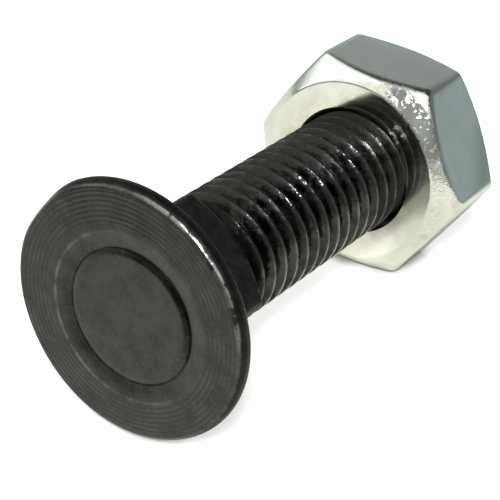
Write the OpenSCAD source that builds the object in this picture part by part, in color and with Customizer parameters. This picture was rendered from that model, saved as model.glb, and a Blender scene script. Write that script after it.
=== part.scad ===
// Plow bolt with its hex nut: a round countersunk head with a pad in a shallow recess, a square neck
// that stops it turning in the work, a threaded shank, and a chamfered nut run on from the far end.
// The turns of the thread are rings here, one for each pitch.
// It lies on its side as it comes to rest, on the rim of the head and on one flat of the nut.

/* [Head] */
// Diameter of the round head
head_d = 30.9; // [29:0.1:36]
// Width of the bevel round the edge of the face, across the face
bevel_w = 0.55; // [0.2:0.05:1]
// Height of that bevel along the bolt
bevel_h = 0.85; // [0.2:0.05:1.2]
// Height of the straight rim behind the bevel
rim_h = 0.8; // [0.4:0.05:2.5]
// Included angle of the countersunk seat behind the rim
seat_angle = 90; // [80:1:100]
// Diameter where the face starts to slope into its recess
recess_d = 20.6; // [18:0.1:24]
// Depth of that slope at the foot of the pad
slope_depth = 0.5; // [0.3:0.05:1]
// Diameter of the round pad in the middle of the recess, at its foot
pad_d = 16.2; // [12:0.1:17.5]
// Width of the slope round the edge of the pad
pad_edge_w = 0.5; // [0.2:0.05:1]
// Rise of the pad over its foot
pad_rise = 0.25; // [0.1:0.05:0.3]

/* [Neck] */
// Width of the square neck across its flats
neck_w = 15; // [14:0.1:17]
// Radius of the neck's long corners
neck_corner_r = 1; // [0.4:0.1:2]
// Distance from the face of the head to the end of the neck
neck_end = 13.5; // [12.5:0.1:18]
// Angle of the chamfer that trims the corners at that end, from the end's plane
neck_chamfer = 35; // [10:1:45]
// Turn of the neck about the bolt, from one flat facing down
neck_turn = 40; // [0:1:90]

/* [Shank] */
// Length of the bolt from the face of the head to its far end
bolt_l = 63.5; // [62:0.5:90]
// Major diameter of the thread
thread_d = 15.875; // [12:0.005:15.9]
// Pitch of the thread
thread_pitch = 2.309; // [1.5:0.001:2.6]
// Length of the plain groove between the neck and the first turn of the thread
runout_l = 0.5; // [0.3:0.1:3]

/* [Nut] */
// Width of the nut across its flats
nut_w = 27; // [25:0.1:28.5]
// Height of the nut
nut_h = 13; // [10:0.1:14]
// Radius of the nut's six long corners
nut_round = 1; // [0.3:0.1:2]
// Distance from the face of the head to the seat of the nut
nut_place = 46.7; // [20:0.1:48]
// Diameter of the flat faces inside the corner chamfers
nut_face_d = 24.2; // [20:0.1:24.6]
// Angle of the corner chamfer at the seat, from the face
nut_chamfer = 39; // [20:1:42]
// Angle of the corner chamfer at the far end, from the face
nut_end_chamfer = 31; // [20:1:42]
// Mouth of the countersink at each end of the nut's hole
nut_mouth_d = 17.2; // [16.2:0.1:18.5]
// Gap between the thread's major diameter and the nut's hole, on the radius
thread_gap = 0.08; // [0.03:0.01:0.1]

/* [Hidden] */
$fn = 128;

// Share of its pitch by which a unified thread is deep on the radius
thread_depth_share = 0.6134;
// Share of its pitch that the flat of a crest takes, and that of a root
thread_flat_share = 0.125;
// How far a cutter runs past the face that it cuts
run_past = 1;

head_r = head_d / 2;
rim_end = bevel_h + rim_h;
thread_r = thread_d / 2;
root_r = thread_r - thread_depth_share * thread_pitch;

// The seat narrows to the run-out groove's depth, inside the neck
seat_end = rim_end + (head_r - root_r) / tan(seat_angle / 2);

nut_r = nut_w / 2;
nut_round_place = (nut_r - nut_round) / cos(30);
nut_corner_r = nut_round_place + nut_round;
nut_hole_r = thread_r + thread_gap;
nut_end = nut_place + nut_h;

// A flat of the nut ends where each chamfer cone cuts its middle
seat_cut = (nut_r - nut_face_d / 2) * tan(nut_chamfer);
end_cut = (nut_r - nut_face_d / 2) * tan(nut_end_chamfer);

// The wider end touches with the edge that faces the other end, and the narrower with its far edge
head_is_wider = head_r > nut_r;
rim_touch = head_is_wider ? rim_end : bevel_h;
nut_touch = head_is_wider ? nut_end - end_cut : nut_place + seat_cut;
tilt = atan((head_r - nut_r) / (nut_touch - rim_touch));
axis_h = head_r * cos(tilt) + rim_touch * sin(tilt);

// Ends of the part along the ground, which put the origin under its middle
low_end = -(head_r - bevel_w) * sin(tilt);
high_end = bolt_l * cos(tilt) + root_r * sin(tilt);

bolt_finish = [0.16, 0.16, 0.15];
nut_finish = [0.66, 0.69, 0.67];

// Stands a piece, built up the Z axis from the face of the head, on its side at rest
module lie_down() {
    translate([-(low_end + high_end) / 2, 0, axis_h])
        rotate([0, 90 + tilt, 0])
            children();
}

// Half section of the head: pad, recessed face, bevel, straight rim and countersunk seat
module head_section() {
    pad_z = slope_depth - pad_rise;
    polygon([
        [0, pad_z],
        [pad_d / 2 - pad_edge_w, pad_z],
        [pad_d / 2, slope_depth],
        [recess_d / 2, 0],
        [head_r - bevel_w, 0],
        [head_r, bevel_h],
        [head_r, rim_end],
        [root_r, seat_end],
        [0, seat_end]
    ]);
}

// Square of the neck with its four corners rounded
module neck_section() {
    straight = neck_w - 2 * neck_corner_r;
    corner = straight / 2;
    union() {
        square([neck_w, straight], center = true);
        square([straight, neck_w], center = true);
        for (x = [-corner, corner], y = [-corner, corner])
            translate([x, y])
                circle(r = neck_corner_r);
    }
}

// Half section of the turned blank that the neck is trimmed to, chamfered at its end
module neck_blank_section() {
    flat_r = neck_w / 2;
    corner_r = neck_w / sqrt(2);
    polygon([
        [0, rim_end],
        [corner_r, rim_end],
        [corner_r, neck_end - (corner_r - flat_r) * tan(neck_chamfer)],
        [flat_r, neck_end],
        [0, neck_end]
    ]);
}

// Half section of one turn of the thread, from its root
module turn_section() {
    flat_l = thread_flat_share * thread_pitch;
    flank_l = thread_pitch / 2 - flat_l;
    polygon([
        [0, 0],
        [root_r, 0],
        [thread_r, flank_l],
        [thread_r, flank_l + flat_l],
        [root_r, 2 * flank_l + flat_l],
        [0, 2 * flank_l + flat_l]
    ]);
}

// Half section of the turned blank that the shank is cut from, chamfered at its far end
module shank_blank_section() {
    polygon([
        [0, rim_end],
        [thread_r + run_past, rim_end],
        [thread_r + run_past, bolt_l - (thread_r + run_past - root_r)],
        [root_r, bolt_l],
        [0, bolt_l]
    ]);
}

// Half section of the shank: core and one turn of the thread for each pitch
module shank_section() {
    thread_start = neck_end + runout_l;
    intersection() {
        union() {
            translate([0, rim_end])
                square([root_r, bolt_l - rim_end]);
            for (z = [thread_start:thread_pitch:bolt_l])
                translate([0, z])
                    turn_section();
        }
        shank_blank_section();
    }
}

// Hexagon of the nut with its six corners rounded and one flat towards +X
module nut_section() {
    side = 2 * (nut_r - nut_round) * tan(30);
    union() {
        for (turn = [0, 60, 120])
            rotate(turn)
                square([nut_w, side], center = true);
        for (turn = [30:60:330])
            rotate(turn)
                translate([nut_round_place, 0])
                    circle(r = nut_round);
    }
}

// Half section of the turned blank that a hex bar is trimmed to, chamfered at both ends
module nut_blank_section() {
    face_r = nut_face_d / 2;
    blank_r = nut_corner_r + run_past;
    polygon([
        [0, nut_place],
        [face_r, nut_place],
        [blank_r, nut_place + (blank_r - face_r) * tan(nut_chamfer)],
        [blank_r, nut_end - (blank_r - face_r) * tan(nut_end_chamfer)],
        [face_r, nut_end],
        [0, nut_end]
    ]);
}

// Half section of the nut's hole with a countersink at each end
module nut_hole_section() {
    mouth_r = nut_mouth_d / 2;
    mouth_l = mouth_r - nut_hole_r;
    flare_r = mouth_r + run_past;
    polygon([
        [0, nut_place - run_past],
        [flare_r, nut_place - run_past],
        [nut_hole_r, nut_place + mouth_l],
        [nut_hole_r, nut_end - mouth_l],
        [flare_r, nut_end + run_past],
        [0, nut_end + run_past]
    ]);
}

// Forged and threaded bolt in one piece
module bolt() {
    color(bolt_finish)
        lie_down()
            union() {
                rotate_extrude()
                    head_section();
                intersection() {
                    rotate([0, 0, neck_turn])
                        translate([0, 0, rim_end])
                            linear_extrude(neck_end - rim_end)
                                neck_section();
                    rotate_extrude()
                        neck_blank_section();
                }
                rotate_extrude()
                    shank_section();
            }
}

// Hex nut with one flat facing down
module nut() {
    color(nut_finish)
        lie_down()
            difference() {
                intersection() {
                    rotate_extrude()
                        nut_blank_section();
                    translate([0, 0, nut_place])
                        linear_extrude(nut_h)
                            nut_section();
                }
                rotate_extrude()
                    nut_hole_section();
            }
}

bolt();
nut();
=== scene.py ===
"""Looks of a plow bolt and its hex nut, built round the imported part.

Both pieces are shaped in millimetres in the bolt's own frame, which starts at the middle of the head's
face and has its z axis along the shank. A finished mesh is then laid on the floor, in metres.
"""

import logging
import math
from abc import ABC, abstractmethod
from collections.abc import Callable, Iterable, Mapping
from dataclasses import dataclass, field
from enum import Enum
from functools import reduce
from typing import NamedTuple

import bmesh
import bpy
from mathutils import Matrix, Vector


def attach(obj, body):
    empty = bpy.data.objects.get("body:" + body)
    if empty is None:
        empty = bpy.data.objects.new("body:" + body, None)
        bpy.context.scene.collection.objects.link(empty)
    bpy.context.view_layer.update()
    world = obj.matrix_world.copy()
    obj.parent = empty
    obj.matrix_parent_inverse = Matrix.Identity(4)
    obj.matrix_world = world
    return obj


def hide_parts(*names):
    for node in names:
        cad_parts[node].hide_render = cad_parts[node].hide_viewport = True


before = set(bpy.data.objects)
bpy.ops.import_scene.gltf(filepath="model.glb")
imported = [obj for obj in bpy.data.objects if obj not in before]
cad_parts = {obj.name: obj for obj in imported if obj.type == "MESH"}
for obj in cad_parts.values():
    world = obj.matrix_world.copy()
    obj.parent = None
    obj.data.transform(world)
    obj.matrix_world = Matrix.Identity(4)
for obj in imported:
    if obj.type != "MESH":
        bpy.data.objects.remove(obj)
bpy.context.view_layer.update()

LOG = logging.getLogger("plow_bolt")
MM = 0.001
FULL_TURN = 2 * math.pi
ACROSS = (1.0, 1.0, 0.0)
WHITE = (1.0, 1.0, 1.0, 1.0)

# Points closer than this are merged, in millimetres
WELD = 0.002
# Faces that meet at more than this are shaded with an edge between them
SHARP_EDGE = math.radians(34)
# Most of a side that the rounding of one of its corners takes
MOST_ROUNDED = 0.45

Colour = tuple[float, float, float, float]
Triple = tuple[float, float, float]
Range = tuple[float, float]
Section = list[tuple[float, float]]
Socket = bpy.types.NodeSocket
Outputs = bpy.types.NodeOutputs
Material = bpy.types.Material
Piece = bpy.types.Object


class Body(Enum):
    """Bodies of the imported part, which are also the names of their nodes."""

    BOLT = "bolt"
    NUT = "nut"


class Slot(Enum):
    """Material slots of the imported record."""

    BLACK_STEEL = "black_steel"
    ZINC_PLATE = "zinc_plate"


class ThreadSide(Enum):
    """Which side of its surface a thread's metal is on."""

    OUTSIDE = 1.0
    INSIDE = -1.0


class ProfilePoint(NamedTuple):
    """Corner of a half section, in millimetres.

    Args:
        radius: Distance from the bolt's axis.
        height: Distance from the face of the head.
        blend: How far the rounding reaches from the corner.
    """

    radius: float
    height: float
    blend: float = 0.0


class Mottle(NamedTuple):
    """Cloudy patches with fine grain in them.

    Args:
        patch: Patches to the metre.
        grain: Grains to the metre.
        share: Share that the grain has in the mix of both.
    """

    patch: float
    grain: float
    share: float


def softened(corners: list[ProfilePoint], steps: int = 4) -> Section:
    """Rounds the corners of a half section.

    Args:
        corners: Corners in order, each with the reach of its rounding.
        steps: Pieces that a rounding is made of.

    Returns:
        Radius and height of each point along the section.
    """
    line: Section = []
    for i, corner in enumerate(corners):
        here = Vector((corner.radius, corner.height))
        if corner.blend <= 0 or i in (0, len(corners) - 1):
            line.append(tuple(here))
            continue
        before = Vector(corners[i - 1][:2]) - here
        after = Vector(corners[i + 1][:2]) - here
        reach = min(corner.blend, MOST_ROUNDED * before.length, MOST_ROUNDED * after.length)
        start = here + before.normalized() * reach
        end = here + after.normalized() * reach
        for step in range(steps + 1):
            t = step / steps
            line.append(tuple(start.lerp(here, t).lerp(here.lerp(end, t), t)))
    return line


def polygon_radius(angle: float, sides: int, half: float, corner_r: float) -> float:
    """Distance from the middle of a rounded regular polygon to its skin.

    Args:
        angle: Angle from the middle of one flat.
        sides: Number of flats.
        half: Half the width across the flats.
        corner_r: Radius of the corners.

    Returns:
        The distance at that angle.
    """
    to_corner = math.pi / sides
    off_flat = abs((angle + to_corner) % (2 * to_corner) - to_corner)
    middle = half - corner_r
    if half * math.tan(off_flat) <= middle * math.tan(to_corner):
        return half / math.cos(off_flat)
    to_middle = middle / math.cos(to_corner)
    off_corner = to_corner - off_flat
    side = to_middle * math.sin(off_corner)
    return to_middle * math.cos(off_corner) + math.sqrt(corner_r**2 - side**2)


class Sketch:
    """Adds nodes to one tree and feeds each input as the node is added."""

    NODES_IN_ROW = 12
    NODE_SPACE = (180, -220)
    VALUE_OPERATIONS = ("DOT_PRODUCT", "LENGTH", "DISTANCE")

    def __init__(self, tree: bpy.types.NodeTree) -> None:
        """Keeps the tree that the nodes go into."""
        self.tree = tree

    def node(
        self,
        kind: str,
        inputs: Mapping[str | int, object] | None = None,
        **settings: object,
    ) -> bpy.types.Node:
        """Adds one node.

        Args:
            kind: Type name of the node.
            inputs: Value or source socket of each input that is not left at its default.
            **settings: Properties of the node, which are set first.

        Returns:
            The new node.
        """
        made = self.tree.nodes.new(kind)
        row, column = divmod(len(self.tree.nodes), self.NODES_IN_ROW)
        made.location = (self.NODE_SPACE[0] * column, self.NODE_SPACE[1] * row)
        for name, value in settings.items():
            setattr(made, name, value)
        for key, value in (inputs or {}).items():
            if isinstance(value, Socket):
                self.tree.links.new(value, made.inputs[key])
            else:
                made.inputs[key].default_value = value
        return made

    def math(self, operation: str, *terms: object) -> Socket:
        """Adds a function of values and returns its output."""
        return self.node("ShaderNodeMath", dict(enumerate(terms)), operation=operation).outputs[0]

    def product(self, *factors: object) -> Socket:
        """Multiplies values and returns the last output."""
        return reduce(lambda first, second: self.math("MULTIPLY", first, second), factors)

    def total(self, *terms: object) -> Socket:
        """Adds up values and returns the last output."""
        return reduce(lambda first, second: self.math("ADD", first, second), terms)

    def minus(self, first: object, second: object) -> Socket:
        """Takes one value from another and returns the output."""
        return self.math("SUBTRACT", first, second)

    def apart(self, value: object, middle: object) -> Socket:
        """Returns the output of how far a value is from another, to either side."""
        return self.math("ABSOLUTE", self.minus(value, middle))

    def vector(self, operation: str, *terms: object) -> Socket:
        """Adds a function of vectors and returns its output."""
        made = self.node("ShaderNodeVectorMath", dict(enumerate(terms)), operation=operation)
        return made.outputs["Value" if operation in self.VALUE_OPERATIONS else "Vector"]

    def toward(self, place: object, side: object) -> Socket:
        """Returns the output of how far a point lies to one side."""
        return self.vector("DOT_PRODUCT", place, side)

    def away(self, place: object, middle: object) -> Socket:
        """Returns the output of a point's distance from a line along the bolt."""
        off = self.vector("SUBTRACT", place, middle)
        return self.vector("LENGTH", self.vector("MULTIPLY", off, ACROSS))

    def parts(self, vector: Socket) -> Outputs:
        """Returns the outputs of a vector's three parts."""
        return self.node("ShaderNodeSeparateXYZ", {0: vector}).outputs

    def scaled(self, colour: Socket, factor: Socket) -> Socket:
        """Multiplies a colour by a value and returns the output."""
        made = self.node("ShaderNodeVectorMath", {0: colour, "Scale": factor}, operation="SCALE")
        return made.outputs[0]

    def noise(self, spot: Socket, scale: object, detail: float, roughness: float = 0.5) -> Socket:
        """Adds cloudy noise and returns its output."""
        sizes = {"Vector": spot, "Scale": scale, "Detail": detail, "Roughness": roughness}
        return self.node("ShaderNodeTexNoise", sizes).outputs[0]

    def ramp(
        self,
        value: object,
        source: tuple[object, object],
        target: tuple[object, object] = (0.0, 1.0),
        smooth: bool = False,
    ) -> Socket:
        """Maps a value from one range to another, held at the ends.

        Args:
            value: Socket to map.
            source: Ends of the range that it comes from.
            target: Ends of the range that it goes to.
            smooth: True for an eased map, False for a straight one.

        Returns:
            Socket of the mapped value.
        """
        names = ("Value", "From Min", "From Max", "To Min", "To Max")
        made = self.node(
            "ShaderNodeMapRange",
            dict(zip(names, (value, *source, *target), strict=True)),
            interpolation_type="SMOOTHSTEP" if smooth else "LINEAR",
        )
        return made.outputs["Result"]

    def fall(self, value: object, start: float, end: float) -> Socket:
        """Returns a mask that is 1 up to the start of a range and 0 from its end on."""
        return self.ramp(value, (start, end), (1.0, 0.0))

    def level(self, mask: object, off: float, on: float) -> Socket:
        """Returns a value that goes from one level to another as a mask goes from 0 to 1."""
        return self.ramp(mask, (0.0, 1.0), (off, on))

    def blend(self, share: object, first: object, second: object) -> Socket:
        """Adds a mix of two colours and returns its output."""
        inputs = {"Factor": share, 6: first, 7: second}
        return self.node("ShaderNodeMix", inputs, data_type="RGBA").outputs[2]


@dataclass(frozen=True)
class Thread:
    """Right-hand screw thread that the bolt and the nut share, in millimetres.

    Args:
        pitch: Distance from one crest to the next.
        crest_r: Radius of the bolt's crests.
        depth: Depth of the bolt's thread.
        crest_share: Share of the pitch that a crest's flat takes.
        root_share: Share of the pitch that a root's flat takes.
        crest_height: Height of one crest at angle 0.
        gap: Play on the radius between the bolt's thread and the nut's.
        run_out_slope: Slope on which the bolt's thread rises from its plain groove.
        mouth_slope: Slope of the countersink that the nut's thread starts in.
        rows: Points along the thread's profile for each pitch.
    """

    pitch: float = 2.309
    crest_r: float = 7.9375
    depth: float = 1.4163
    crest_share: float = 0.125
    root_share: float = 0.125
    crest_height: float = 29.79
    gap: float = 0.08
    run_out_slope: float = 1.64
    mouth_slope: float = 1.0
    rows: int = 16

    @property
    def root_r(self) -> float:
        """Radius of the bolt's roots."""
        return self.crest_r - self.depth


class SkinTree(ABC):
    """Geometry Nodes tree that works on a skin and gives it its finish."""

    NAME: str
    SIZES: Mapping[str, tuple[str, ...]]

    def __init__(self) -> None:
        """Builds the tree."""
        self.tree = bpy.data.node_groups.new(self.NAME, "GeometryNodeTree")
        face = self.tree.interface
        face.new_socket("Geometry", in_out="INPUT", socket_type="NodeSocketGeometry")
        self.keys = {
            name: face.new_socket(name, in_out="INPUT", socket_type=kind).identifier
            for kind, names in self.SIZES.items()
            for name in names
        }
        face.new_socket("Geometry", in_out="OUTPUT", socket_type="NodeSocketGeometry")
        s = Sketch(self.tree)
        size = s.node("NodeGroupInput").outputs
        real = s.node("GeometryNodeRealizeInstances", {0: self._shape(s, size)})
        dressed = s.node(
            "GeometryNodeSetMaterial",
            {"Geometry": real.outputs[0], "Material": size["Finish"]},
        )
        s.node("NodeGroupOutput", {"Geometry": dressed.outputs[0]})

    @abstractmethod
    def _shape(self, s: Sketch, size: Outputs) -> Socket:
        """Adds the nodes that shape the skin.

        Args:
            s: Sketch of the tree.
            size: Sockets of the tree's inputs.

        Returns:
            Socket of the shaped skin.
        """

    def put_on(self, piece: Piece, values: Mapping[str, object]) -> None:
        """Adds the tree to a skin as a modifier.

        Args:
            piece: Skin to work on.
            values: Value of each of the tree's sizes.
        """
        modifier = piece.modifiers.new(self.NAME, "NODES")
        modifier.node_group = self.tree
        for name, value in values.items():
            modifier[self.keys[name]] = value


class ThreadTree(SkinTree):
    """Geometry Nodes tree that joins a threaded tube to the open rings of a skin.

    The tube's rows follow the thread, so its crests and roots are clean edges. Rows that pass an end are
    drawn together on the end's ring, where they meet the skin.
    """

    NAME = "thread_tube"
    SIZES = {
        "NodeSocketFloat": (
            "Pitch", "Crest radius", "Root radius", "Crest share", "Root share", "Side", "First crest",
            "Start", "End", "Start radius", "End radius", "Run-out", "Start slope", "Unevenness",
        ),
        "NodeSocketInt": ("Turns", "Rows", "Columns"),
        "NodeSocketMaterial": ("Finish",),
    }
    # Range from an end of the thread over which its unevenness grows
    GROWS = (0.0, 0.5)

    @staticmethod
    def _round(s: Sketch, radius: Socket, angle: Socket, height: Socket) -> Socket:
        """Makes a place from its radius, angle and height.

        Args:
            s: Sketch of the tree.
            radius: Distance from the bolt's axis.
            angle: Angle round the bolt.
            height: Height along the bolt.

        Returns:
            Socket of the place.
        """
        place = {
            "X": s.product(radius, s.math("COSINE", angle)),
            "Y": s.product(radius, s.math("SINE", angle)),
            "Z": height,
        }
        return s.node("ShaderNodeCombineXYZ", place).outputs[0]

    def _shape(self, s: Sketch, size: Outputs) -> Socket:
        """Makes the tube and welds it to the skin.

        Args:
            s: Sketch of the tree.
            size: Sockets of the tree's inputs.

        Returns:
            Socket of the threaded skin.
        """
        grid = s.node(
            "GeometryNodeMeshGrid",
            {
                "Size X": FULL_TURN,
                "Size Y": size["Turns"],
                "Vertices X": s.math("ADD", size["Columns"], 1.0),
                "Vertices Y": s.math("MULTIPLY_ADD", size["Turns"], size["Rows"], 1.0),
            },
        )
        spot = s.parts(s.node("GeometryNodeInputPosition").outputs[0])
        angle = s.math("ADD", spot["X"], math.pi)
        turn = s.math("MULTIPLY_ADD", size["Turns"], 0.5, spot["Y"])
        climbed = s.math("ADD", turn, s.math("DIVIDE", angle, FULL_TURN))
        free_height = s.math("MULTIPLY_ADD", climbed, size["Pitch"], size["First crest"])
        height = s.math("MINIMUM", s.math("MAXIMUM", free_height, size["Start"]), size["End"])
        radius = self._radius(s, size, turn, height)
        uneven = s.total(radius, self._unevenness(s, size, angle, height))
        tube = s.node(
            "GeometryNodeSetPosition",
            {"Geometry": grid.outputs["Mesh"], "Position": self._round(s, uneven, angle, height)},
        )
        join = s.node("GeometryNodeJoinGeometry")
        s.tree.links.new(tube.outputs[0], join.inputs[0])
        s.tree.links.new(size["Geometry"], join.inputs[0])
        weld = s.node("GeometryNodeMergeByDistance", {"Geometry": join.outputs[0], "Distance": WELD})
        return weld.outputs[0]

    def _radius(self, s: Sketch, size: Outputs, turn: Socket, height: Socket) -> Socket:
        """Makes the thread's profile and the slopes that its ends run out on.

        Args:
            s: Sketch of the tree.
            size: Sockets of the tree's inputs.
            turn: Turns from the first crest, along the profile.
            height: Height along the bolt.

        Returns:
            Socket of the radius.
        """
        off_crest = s.apart(s.math("FRACT", s.math("ADD", turn, 0.5)), 0.5)
        flank = (
            s.product(size["Crest share"], 0.5),
            s.math("MULTIPLY_ADD", size["Root share"], -0.5, 0.5),
        )
        ends = (size["Crest radius"], size["Root radius"])
        straight = s.ramp(off_crest, flank, ends)
        eased = s.ramp(off_crest, flank, ends, smooth=True)
        free = s.product(s.total(straight, eased), 0.5)
        past_start = s.minus(s.minus(height, size["Start"]), size["Run-out"])
        start_slope = s.product(s.math("MAXIMUM", past_start, 0.0), size["Start slope"])
        end_slope = s.minus(size["End"], height)
        start_limit = s.math("MULTIPLY_ADD", size["Side"], size["Start radius"], start_slope)
        end_limit = s.math("MULTIPLY_ADD", size["Side"], size["End radius"], end_slope)
        limit = s.math("MINIMUM", start_limit, end_limit)
        held = s.math("MINIMUM", s.product(size["Side"], free), limit)
        return s.product(size["Side"], held)

    def _unevenness(self, s: Sketch, size: Outputs, angle: Socket, height: Socket) -> Socket:
        """Makes the small rise and fall of a rough thread, which dies out at both ends.

        Args:
            s: Sketch of the tree.
            size: Sockets of the tree's inputs.
            angle: Angle round the bolt.
            height: Height along the bolt.

        Returns:
            Socket of what is added to the radius.
        """
        spot = self._round(s, size["Crest radius"], angle, height)
        rough = s.noise(spot, scale=0.9, detail=3.0, roughness=0.6)
        from_start = s.ramp(s.minus(height, size["Start"]), self.GROWS)
        from_end = s.ramp(s.minus(size["End"], height), self.GROWS)
        swing = s.math("MULTIPLY_ADD", rough, 2.0, -1.0)
        return s.product(swing, s.product(from_start, from_end), size["Unevenness"])

    def cut(
        self,
        piece: Piece,
        thread: Thread,
        side: ThreadSide,
        ends: tuple[ProfilePoint, ProfilePoint],
        columns: int,
        finish: Material,
        run_out: float = 0.0,
        unevenness: float = 0.0,
    ) -> None:
        """Adds the threaded tube to a skin.

        Args:
            piece: Skin with two open rings.
            thread: Thread to cut.
            side: Which side the metal is on.
            ends: Radius and height of the two rings.
            columns: Points round the skin.
            finish: Material of the piece.
            run_out: Plain length next to the first ring.
            unevenness: Most that the thread rises or falls.
        """
        start, end = ends
        outside = side is ThreadSide.OUTSIDE
        gap = 0.0 if outside else thread.gap
        turns_down = math.ceil((thread.crest_height - start.height) / thread.pitch + 1)
        first_crest = thread.crest_height - turns_down * thread.pitch
        self.put_on(
            piece,
            {
                "Pitch": thread.pitch,
                "Crest radius": thread.crest_r + gap,
                "Root radius": thread.root_r + gap,
                "Crest share": thread.crest_share,
                "Root share": thread.root_share,
                "Side": side.value,
                "First crest": first_crest,
                "Start": start.height,
                "End": end.height,
                "Start radius": start.radius,
                "End radius": end.radius,
                "Run-out": run_out,
                "Start slope": thread.run_out_slope if outside else thread.mouth_slope,
                "Unevenness": unevenness,
                "Turns": math.ceil((end.height - first_crest) / thread.pitch),
                "Rows": thread.rows,
                "Columns": columns,
                "Finish": finish,
            },
        )


class TurnedFaceTree(SkinTree):
    """Geometry Nodes tree that turns fine rings into a face and leaves the rest a little uneven."""

    NAME = "turned_face"
    SIZES = {
        "NodeSocketFloat": (
            "Inner radius", "Outer radius", "Spacing", "Depth", "Face depth", "Forged swell",
        ),
        "NodeSocketVector": ("Centre", "Strong side"),
        "NodeSocketMaterial": ("Finish",),
    }
    # Range from an end of the rings over which they get their depth
    GROWS = (0.0, 0.3)
    # Where the rings are weak and where they are strong, along the strong side, and how strong
    STRONG = ((-7.0, 3.0), (0.25, 1.0))
    # The same for the patches of the face
    PATCHES = ((0.36, 0.62), (0.35, 1.0))

    def _shape(self, s: Sketch, size: Outputs) -> Socket:
        """Moves the face's points along the axis.

        Args:
            s: Sketch of the tree.
            size: Sockets of the tree's inputs.

        Returns:
            Socket of the skin with its turned face.
        """
        spot = s.node("GeometryNodeInputPosition").outputs[0]
        radius = s.away(spot, size["Centre"])
        wave = s.math("COSINE", s.product(s.math("DIVIDE", radius, size["Spacing"]), FULL_TURN))
        groove = s.product(s.math("MULTIPLY_ADD", wave, -0.5, 0.5), size["Depth"])
        inside = s.ramp(s.minus(radius, size["Inner radius"]), self.GROWS)
        outside = s.ramp(s.minus(size["Outer radius"], radius), self.GROWS)
        strong = s.ramp(s.toward(spot, size["Strong side"]), *self.STRONG)
        patchy = s.ramp(s.noise(spot, scale=0.22, detail=2.0), *self.PATCHES)
        ringed = s.product(inside, outside, s.product(groove, s.product(patchy, strong)))
        swollen = s.ramp(s.noise(spot, scale=0.35, detail=3.0), (0.2, 0.8))
        swell = s.product(swollen, size["Forged swell"])
        on_face = s.math("LESS_THAN", s.parts(spot)["Z"], size["Face depth"])
        shift = s.node("ShaderNodeCombineXYZ", {"Z": s.product(s.total(ringed, swell), on_face)})
        moved = {"Geometry": size["Geometry"], "Offset": shift.outputs[0]}
        return s.node("GeometryNodeSetPosition", moved).outputs[0]


class Shell:
    """Skin of a piece, laid in rings of points round the bolt's axis."""

    def __init__(self, name: str, columns: int) -> None:
        """Starts an empty skin.

        Args:
            name: Name of the piece.
            columns: Points in each ring.
        """
        self.name = name
        self.columns = columns
        self.angles = [FULL_TURN * i / columns for i in range(columns)]
        self.points: list[Triple] = []
        self.faces: list[tuple[int, ...]] = []
        self._last: list[int] = []

    def lift(self) -> None:
        """Ends a run of rings, so that the next ring starts a new one."""
        self._last = []

    def pole(self, height: float) -> None:
        """Closes the run on the axis, or starts one there.

        Args:
            height: Height of the point on the axis.
        """
        index = len(self.points)
        self.points.append((0.0, 0.0, height))
        self._skin([index] * self.columns)

    def ring(self, places: Iterable[tuple[float, float]]) -> None:
        """Adds a ring and skins it to the one before.

        Args:
            places: Radius and height at each angle.
        """
        start = len(self.points)
        for angle, (radius, height) in zip(self.angles, places, strict=True):
            self.points.append((radius * math.cos(angle), radius * math.sin(angle), height))
        self._skin(list(range(start, start + self.columns)))

    def loft(self, section: Callable[[float], Section], first: int = 0) -> None:
        """Adds a ring for each point of a half section that follows the angle.

        Args:
            section: Gives the half section at an angle.
            first: Point of the section that the first ring is laid for.
        """
        rings = list(zip(*(section(angle) for angle in self.angles), strict=True))
        for places in rings[first:]:
            self.ring(places)

    def _skin(self, ring: list[int]) -> None:
        """Joins a ring of points to the last one with faces.

        Args:
            ring: Numbers of the ring's points.
        """
        last = self._last
        self._last = ring
        if not last:
            return
        for i in range(self.columns):
            j = (i + 1) % self.columns
            corners = dict.fromkeys((last[i], last[j], ring[j], ring[i]))
            self.faces.append(tuple(corners))

    def make(self) -> Piece:
        """Puts the skin in the scene.

        Returns:
            Object of the skin.
        """
        mesh = bpy.data.meshes.new(self.name)
        mesh.from_pydata(self.points, [], self.faces)
        piece = bpy.data.objects.new(self.name, mesh)
        bpy.context.scene.collection.objects.link(piece)
        return piece


def lay_down(piece: Piece, laid: Matrix) -> None:
    """Turns a piece and its modifiers into a plain mesh that lies on the floor.

    Args:
        piece: Skin with its Geometry Nodes modifiers, which are removed.
        laid: Matrix that lays the bolt on the floor.
    """
    bpy.context.view_layer.update()
    evaluated = piece.evaluated_get(bpy.context.evaluated_depsgraph_get())
    mesh = bpy.data.meshes.new_from_object(evaluated)
    piece.modifiers.clear()
    old = piece.data
    piece.data = mesh
    bpy.data.meshes.remove(old)
    mesh.name = piece.name
    work = bmesh.new()
    work.from_mesh(mesh)
    bmesh.ops.remove_doubles(work, verts=work.verts, dist=WELD)
    bmesh.ops.dissolve_degenerate(work, edges=work.edges, dist=WELD / 4)
    bmesh.ops.recalc_face_normals(work, faces=work.faces)
    open_edges = sum(1 for edge in work.edges if not edge.is_manifold)
    work.to_mesh(mesh)
    work.free()
    mesh.transform(laid)
    mesh.shade_smooth()
    mesh.set_sharp_from_angle(angle=SHARP_EDGE)
    mesh.update()
    LOG.info("%s: %d faces, %d open edges", piece.name, len(mesh.polygons), open_edges)


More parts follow.
